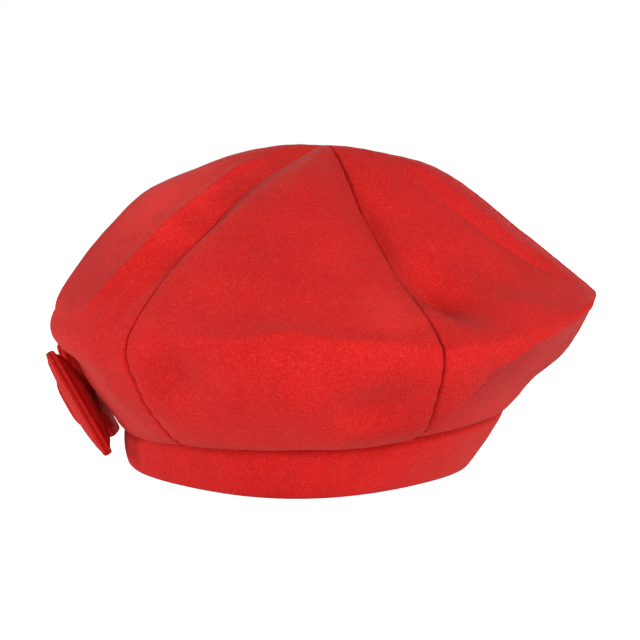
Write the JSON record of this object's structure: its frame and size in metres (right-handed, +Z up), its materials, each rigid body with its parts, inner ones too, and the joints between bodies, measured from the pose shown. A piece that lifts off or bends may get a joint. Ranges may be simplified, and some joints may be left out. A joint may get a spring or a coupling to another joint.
{
  "type": "beret",
  "caption": "Gored beret in red napped cloth with a lined crown, a sewn headband and a fabric bow that swivels on its thread tack at one side; stands on its band.",
  "frame": {"origin": "on the surface the beret stands on, under the middle of its bounding box", "axes": "+Z up through the crown, -Y towards the front, -X towards the side with the bow"},
  "size_m": [0.2884, 0.283, 0.1667],
  "materials": {
    "napped_cloth": "matt brushed nap with a soft sheen",
    "lining": "smooth satin weave",
    "interlining": "matt bonded web",
    "woven_tape": "fine blank woven tape",
    "thread": "twisted sewing thread"
  },
  "bodies": {
    "hat": {"crown_gore_1": "napped_cloth", "crown_gore_2": "napped_cloth", "crown_gore_3": "napped_cloth", "crown_gore_4": "napped_cloth", "crown_gore_5": "napped_cloth", "crown_gore_6": "napped_cloth", "crown_lining_1": "lining", "crown_lining_2": "lining", "crown_lining_3": "lining", "crown_lining_4": "lining", "crown_lining_5": "lining", "crown_lining_6": "lining", "band_outer": "napped_cloth", "band_stiffener": "interlining", "band_facing": "napped_cloth", "size_tab": "woven_tape", "bow_tack": "thread"},
    "bow": {"bow_front_panel": "napped_cloth", "bow_back_panel": "napped_cloth", "bow_knot": "napped_cloth"}
  },
  "joints": [
    {"name": "bow_swivel", "type": "hinge", "parent": "hat", "child": "bow", "pos_m": [-0.1283, -0.002, 0.0332], "axis": [-0.8716, -0.1132, -0.477], "range_deg": [-8, 8]}
  ]
}
